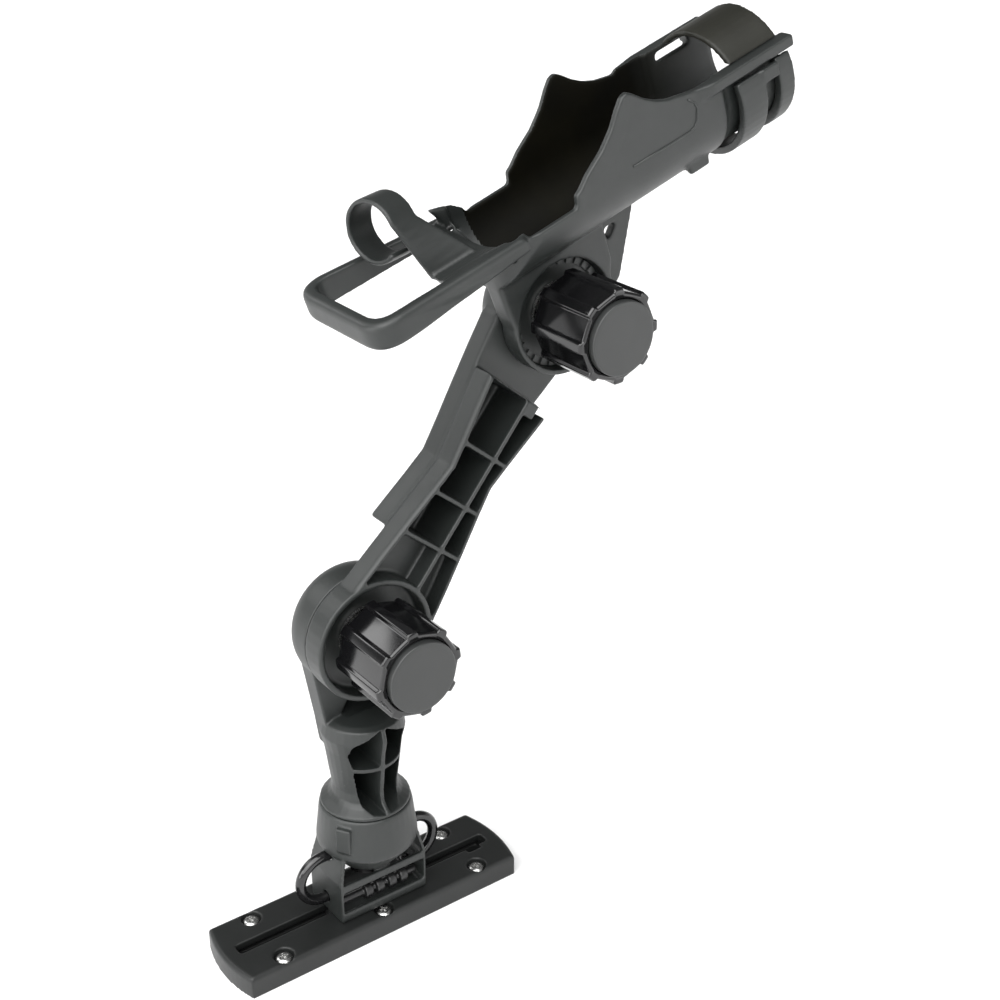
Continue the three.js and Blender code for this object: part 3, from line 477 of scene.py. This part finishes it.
def paintTroughShade(piece, size):
    for face in piece.data.polygons:
        offset = (face.center - upperPivot) / mm
        along, up, across = offset.dot(troughAlong), offset.dot(troughUp), offset.y
        if not size["start"] < along < size["end"] or abs(across) > size["halfWidth"]:
            continue
        reach = math.hypot(across, min(up - size["middle"], 0))
        inward = Vector((0, -across, 0)) + troughUp * max(size["middle"] - up, 0)
        facing = face.normal.dot(inward.normalized()) > size["facing"]
        if facing and reach < size["radius"] and up > size["floor"]:
            face.material_index = 1


paintTroughShade(cradleShell, troughShadeArea)

panelLine = {"width": 0.55, "across": -28.25,
             "path": [(47.6, 59.6), (64.5, 59.3), (84.1, 58.9), (87.7, 59.8), (89.7, 62.4), (91.2, 67.8), (90.2, 71.3),
                      (87, 74.2)]}
panelPath = [cradlePoint(along, panelLine["across"], up) for along, up in panelLine["path"]]
panelMesh = tubeMesh("side_panel_line", panelPath, panelLine["width"], 12)
addPiece("side_panel_line", panelMesh, "cradle", nylon)

rearSkin = {"voxel": 0.7, "smoothing": 8}  # bridge and end ring
collarSkin = {"voxel": 0.6, "smoothing": 7}
bridgeMesh = moulded("bridge_arch", [copyOf("cradle_bridge")], rearSkin)
addPiece("bridge_arch", bridgeMesh, "cradle", bridgeNylon, ("cradle_bridge",))
ringMesh = moulded("rear_ring", [copyOf("cradle_end_ring")], rearSkin)
addPiece("rear_ring", ringMesh, "cradle", nylon, ("cradle_end_ring",))
collarMesh = moulded("turning_collar", [copyOf("lock_collar")], collarSkin)
addPiece("turning_collar", collarMesh, "collar", nylon, ("lock_collar",))

# Arm and post

lobeSize = {"start": 0.2, "radius": 32, "rearRadius": 25.6, "depth": 20, "domeStart": 8,
            "pocket": 11, "pocketFloor": 4, "steps": 14}


def lobeSkin(name, pivot, size):
    # the true dome over the stepped one, facing +y
    flare = size["radius"] - size["rearRadius"]
    rise = size["depth"] - size["domeStart"]
    profile = [(0, size["start"]), (size["radius"], size["start"]), (size["radius"], size["domeStart"])]
    for step in range(1, size["steps"] + 1):
        angle = step / size["steps"] * math.pi / 2
        radius = size["rearRadius"] + flare * math.cos(angle)
        profile.append((radius, size["domeStart"] + rise * math.sin(angle)))
    profile += [(size["pocket"], size["depth"]), (size["pocket"], size["pocketFloor"])]
    profile.append((0, size["pocketFloor"]))
    return turnedMesh(name, profile, pivot, (0, 1, 0))


notchFill = {"along": (131, 138.4), "across": (-13.9, -4), "up": (-14.2, -7)}


def notchMesh(size):
    # closes the slit between the block and the first pocket wall
    points = [armPoint(along, across, up)
              for along in size["along"] for across in size["across"] for up in size["up"]]
    faces = [(0, 1, 3, 2), (4, 6, 7, 5), (0, 4, 5, 1), (2, 3, 7, 6), (0, 2, 6, 4), (1, 5, 7, 3)]
    return meshOf("notch_fill", points, faces)


armSkin = {"voxel": 0.75, "smoothing": 6}
armSolids = [copyOf("arm"), lobeSkin("upper_lobe_skin", upperPivot, lobeSize), notchMesh(notchFill)]
armMesh = moulded("arm_link", armSolids, armSkin)
addPiece("arm_link", armMesh, "arm", nylon, ("arm",))

postSkin = {"voxel": 0.5, "smoothing": 6}
postSolids = [copyOf("post"), lobeSkin("lower_lobe_skin", lowerPivot, lobeSize)]
postMesh = moulded("swivel_post", postSolids, postSkin)
addPiece("swivel_post", postMesh, "post", nylon, ("post",))
print("holder: cradle, arm and post done")

# Foot

bellSize = {"base": 13, "bore": 11.2, "bottom": 25, "bottomRadius": 14.5, "rimHeight": 38, "rimDepth": 3,
            "rimRadius": 26.4, "height": 61, "topRadius": 23.9, "rounding": 2.2}


def bellSkin(size):
    base = Vector((postFoot.x, 0, size["base"] * mm))
    start = (size["bore"], size["bottom"])
    corners = [start, (size["bottomRadius"], size["bottom"]), (size["rimRadius"], size["rimHeight"]),
               (size["rimRadius"], size["rimHeight"] + size["rimDepth"]),
               (size["topRadius"], size["height"]), (size["bore"], size["height"])]
    return turnedRing("bell_skin", roundedProfile(corners, size["rounding"]), base)


footSkin = {"voxel": 0.6, "smoothing": 5}
footMesh = moulded("foot_housing", [copyOf("foot_frame"), bellSkin(bellSize)], footSkin)
addPiece("foot_housing", footMesh, "foot", nylon, ("foot_frame",))

loopSize = {"radius": 13, "wire": 2.8, "offset": 28, "height": 21, "legEnd": 20.6,
            "legSteps": 9, "bendSteps": 40}


def pullLoop(name, body, node, side, size):
    # a half circle of wire with a straight leg at each end, upright and in line with the track
    leg = size["offset"] - size["legEnd"]
    path = []
    for step in range(size["legSteps"]):
        path.append((size["legEnd"] + leg * step / size["legSteps"], -size["radius"]))
    for step in range(size["bendSteps"] + 1):
        angle = (step / size["bendSteps"] - 0.5) * math.pi
        path.append((size["offset"] + size["radius"] * math.cos(angle), size["radius"] * math.sin(angle)))
    for step in range(size["legSteps"]):
        path.append((size["offset"] - leg * (step + 1) / size["legSteps"], size["radius"]))
    base = bellSize["base"] + size["height"]
    points = [Vector((postFoot.x + side * mm * x, 0, mm * (base + z))) for x, z in path]
    addPiece(name, tubeMesh(name, points, size["wire"]), body, glossBlack, (node,))


pullLoop("right_pull_loop", "loop_right", "pull_loop_right", 1, loopSize)
pullLoop("left_pull_loop", "loop_left", "pull_loop_left", -1, loopSize)

lockSize = {"radius": 2, "knuckle": 4.3, "width": 4.6, "middles": [-7, 0, 7.5, 14.5], "across": -8.6,
            "height": 8.6, "half": 23.4, "rounding": 1.4}


def lockShaft(size):
    corners = [(0, -size["half"]), (size["radius"], -size["half"])]
    for middle in size["middles"]:
        start, end = middle - size["width"] / 2, middle + size["width"] / 2
        corners += [(size["radius"], start), (size["knuckle"], start)]
        corners += [(size["knuckle"], end), (size["radius"], end)]
    corners += [(size["radius"], size["half"]), (0, size["half"])]
    base = Vector((postFoot.x, size["across"] * mm, (bellSize["base"] + size["height"]) * mm))
    return turnedMesh("knuckled_shaft", roundedProfile(corners, size["rounding"]), base, (1, 0, 0), 40)


addPiece("knuckled_shaft", lockShaft(lockSize), "foot", satinBlack, ("lock_shaft",))

# Track and screws

trackSkin = {"voxel": 0.65, "smoothing": 4}
trackMesh = moulded("deck_track", [copyOf("track_rail")], trackSkin)
addPiece("deck_track", trackMesh, "track", trackNylon, ("track_rail",))

screwSize = {"edge": 0.16, "count": 6}
for number in range(1, screwSize["count"] + 1):
    node = f"track_screw_{number}"
    screwMesh = bevelled(node, copyOf(node), screwSize["edge"])
    addPiece(f"deck_screw_{number}", screwMesh, "track", steel, (node,))
print("holder: foot and track done")

# Knobs

knobSize = {"start": 13.6, "end": 51.6, "panel": 22.3, "rib": 24.1, "ribWidth": 5.2, "ribs": 8, "dish": 0.7,
            "fillet": 1.1, "hub": 12, "capSeat": 18.7, "seatEdge": 0.5, "capFloor": 49.6, "edge": 1.6,
            "edgeSteps": 6, "steps": 384}
capSize = {"radius": 18.4, "start": 50, "end": 55, "slope": 1.8, "fall": 0.2, "rounding": 1.3}
washerTops = {"lower": 6.4, "upper": 6.6}


def ribPhase(node, pivot):
    # the ribs' angle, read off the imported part
    total = 0
    for vertex in nodes[node].data.vertices:
        offset = vertex.co - pivot
        if math.hypot(offset.x, offset.z) > (knobSize["rib"] - 0.3) * mm:
            total += cmath.exp(1j * knobSize["ribs"] * math.atan2(offset.z, offset.x))
    return cmath.phase(total) / knobSize["ribs"]


def gripRadius(angle, size):
    pitch = 2 * math.pi / size["ribs"]
    turn = (angle + pitch / 2) % pitch - pitch / 2
    reach = abs(turn) * size["panel"]
    half = size["ribWidth"] / 2
    share = min(max((half - reach) / size["fillet"] + 0.5, 0), 1)
    rise = share * share * (3 - 2 * share)
    across = min(max((reach - half) / (pitch * size["panel"] / 2 - half), 0), 1)
    panel = size["panel"] - size["dish"] * (1 - (1 - across) ** 2)
    return panel + (size["rib"] - panel) * rise


def knobRings(size, washerTop):
    # (ribbed or plain, inset or radius, depth) from the washer's face to the cap's seat
    edge, count = size["edge"], size["edgeSteps"]
    hub, seat = size["hub"], size["capSeat"]
    rings = [("plain", 0, washerTop), ("plain", hub, washerTop), ("plain", hub, size["start"])]
    for step in range(count + 1):
        angle = step / count * math.pi / 2
        inset, depth = edge * (1 - math.sin(angle)), edge * (1 - math.cos(angle))
        rings.append(("ribbed", inset, size["start"] + depth))
    for step in range(count + 1):
        angle = step / count * math.pi / 2
        inset, depth = edge * (1 - math.cos(angle)), edge * (1 - math.sin(angle))
        rings.append(("ribbed", inset, size["end"] - depth))
    rings.append(("plain", seat + size["seatEdge"], size["end"]))
    rings.append(("plain", seat, size["end"] - size["seatEdge"]))
    rings += [("plain", seat, size["capFloor"]), ("plain", 0, size["capFloor"])]
    return rings


def knobGrip(name, node, body, pivot, washerTop):
    size = knobSize
    steps = size["steps"]
    phase = ribPhase(node, pivot)
    rings = knobRings(size, washerTop)
    points, faces = [], []
    for kind, value, depth in rings:
        for step in range(steps):
            angle = 2 * math.pi * step / steps
            radius = max(value, tiny) if kind == "plain" else gripRadius(angle, size) - value
            world = angle + phase
            points.append(pivot + mm * Vector((radius * math.cos(world), -depth, radius * math.sin(world))))
    for index in range(len(rings) - 1):
        for step in range(steps):
            a, b = index * steps + step, index * steps + (step + 1) % steps
            faces.append((a, b, b + steps, a + steps))
    addPiece(name, meshOf(name, points, faces), body, glossBlack, (node,))


def knobCap(name, node, body, pivot):
    size = capSize
    radius, end = size["radius"], size["end"]
    corners = [(0, size["start"]), (radius, size["start"]), (radius, end - size["fall"]),
               (radius - size["slope"], end), (0, end)]
    mesh = turnedMesh(name, roundedProfile(corners, size["rounding"], 6), pivot, (0, -1, 0), 128)
    addPiece(name, mesh, body, capPlastic, (node,))


for side, pivot in (("lower", lowerPivot), ("upper", upperPivot)):
    knobGrip(f"{side}_grip_knob", f"{side}_knob", f"{side}_grip", pivot, washerTops[side])
    knobCap(f"{side}_grip_cap", f"{side}_knob_cap", f"{side}_grip", pivot)
print("holder: knobs done")

# Floor, light and camera

floorLook = {"size": 60.0, "pale": 0.93, "dark": 0.92, "noiseScale": 5, "rough": 0.9, "shine": 0.1}
roomLook = {"pale": 1.0, "dim": 0.18, "paleTo": 0.12, "dimFrom": 0.3}
sunLook = {"strength": 4.6, "softness": 80, "from": (-0.55, -0.5, 1.0)}
lampAim = (0.06, 0, 0.22)
lamps = {"key": {"place": (-0.75, -0.55, 1.15), "wide": 0.7, "high": 0.7, "power": 3.0},
         "fill": {"place": (0.75, -1.0, 0.45), "wide": 0.6, "high": 0.9, "power": 2.0},
         "edge": {"place": (-0.55, 1.0, 0.95), "wide": 0.55, "high": 0.55, "power": 3.5},
         "side": {"place": (-1.2, 0.1, 0.4), "wide": 0.6, "high": 0.6, "power": 5.0}}


def makeFloor(look):
    half = look["size"] / 2
    corners = [(-half, -half, 0), (half, -half, 0), (half, half, 0), (-half, half, 0)]
    floor = bpy.data.objects.new("floor", meshOf("floor", corners, [(0, 1, 2, 3)]))
    bpy.context.scene.collection.objects.link(floor)
    material, tree, shader, place = startMaterial("pale_floor")
    soft = noiseOf(tree, place, look["noiseScale"], 2)
    colour = rampOf(tree, soft, (look["dark"],) * 3, (look["pale"],) * 3)
    tree.links.new(colour, shader.inputs["Base Color"])
    shader.inputs["Roughness"].default_value = look["rough"]
    shader.inputs["Specular IOR Level"].default_value = look["shine"]
    floor.data.materials.append(material)


def makeRoom(look):
    # pale at the horizon, dim above
    world = bpy.data.worlds.new("soft_room")
    bpy.context.scene.world = world
    world.use_nodes = True
    tree = world.node_tree
    background = tree.nodes["Background"]
    background.inputs["Color"].default_value = (1, 1, 1, 1)
    place = tree.nodes.new("ShaderNodeTexCoord")
    parts = tree.nodes.new("ShaderNodeSeparateXYZ")
    height = tree.nodes.new("ShaderNodeMapRange")
    height.inputs["From Min"].default_value = look["paleTo"]
    height.inputs["From Max"].default_value = look["dimFrom"]
    height.inputs["To Min"].default_value = look["pale"]
    height.inputs["To Max"].default_value = look["dim"]
    tree.links.new(place.outputs["Generated"], parts.inputs[0])
    tree.links.new(parts.outputs["Z"], height.inputs["Value"])
    tree.links.new(height.outputs["Result"], background.inputs["Strength"])


def makeSun(look):
    data = bpy.data.lights.new("soft_sun", "SUN")
    data.energy = look["strength"]
    data.angle = math.radians(look["softness"])
    sun = bpy.data.objects.new("soft_sun", data)
    bpy.context.scene.collection.objects.link(sun)
    sun.rotation_euler = Vector(look["from"]).to_track_quat("Z", "Y").to_euler()


def makeLamp(name, look):
    data = bpy.data.lights.new(name, "AREA")
    data.shape = "RECTANGLE"
    data.size, data.size_y = look["wide"], look["high"]
    data.energy = look["power"]
    lamp = bpy.data.objects.new(name, data)
    bpy.context.scene.collection.objects.link(lamp)
    lamp.location = look["place"]
    heading = Vector(lampAim) - Vector(look["place"])
    lamp.rotation_euler = heading.to_track_quat("-Z", "Y").to_euler()


makeFloor(floorLook)
makeRoom(roomLook)
makeSun(sunLook)
for lampName, lampLook in lamps.items():
    makeLamp(lampName, lampLook)

cameraLook = {"place": (-0.34525, -0.58711, 0.57679), "turn": 36.48, "down": 26.11,
              "lens": 57.76, "sensor": 36}


def makeCamera(look):
    data = bpy.data.cameras.new("camera")
    data.lens = look["lens"]
    data.sensor_width = look["sensor"]
    data.clip_start = 0.01
    camera = bpy.data.objects.new("camera", data)
    bpy.context.scene.collection.objects.link(camera)
    camera.location = look["place"]
    turn, down = math.radians(look["turn"]), math.radians(look["down"])
    level = math.cos(down)
    heading = Vector((math.sin(turn) * level, math.cos(turn) * level, -math.sin(down)))
    camera.rotation_euler = heading.to_track_quat("-Z", "Y").to_euler()
    bpy.context.scene.camera = camera


makeCamera(cameraLook)
bpy.context.scene.view_settings.view_transform = "Standard"
print("holder: floor, light and camera set")
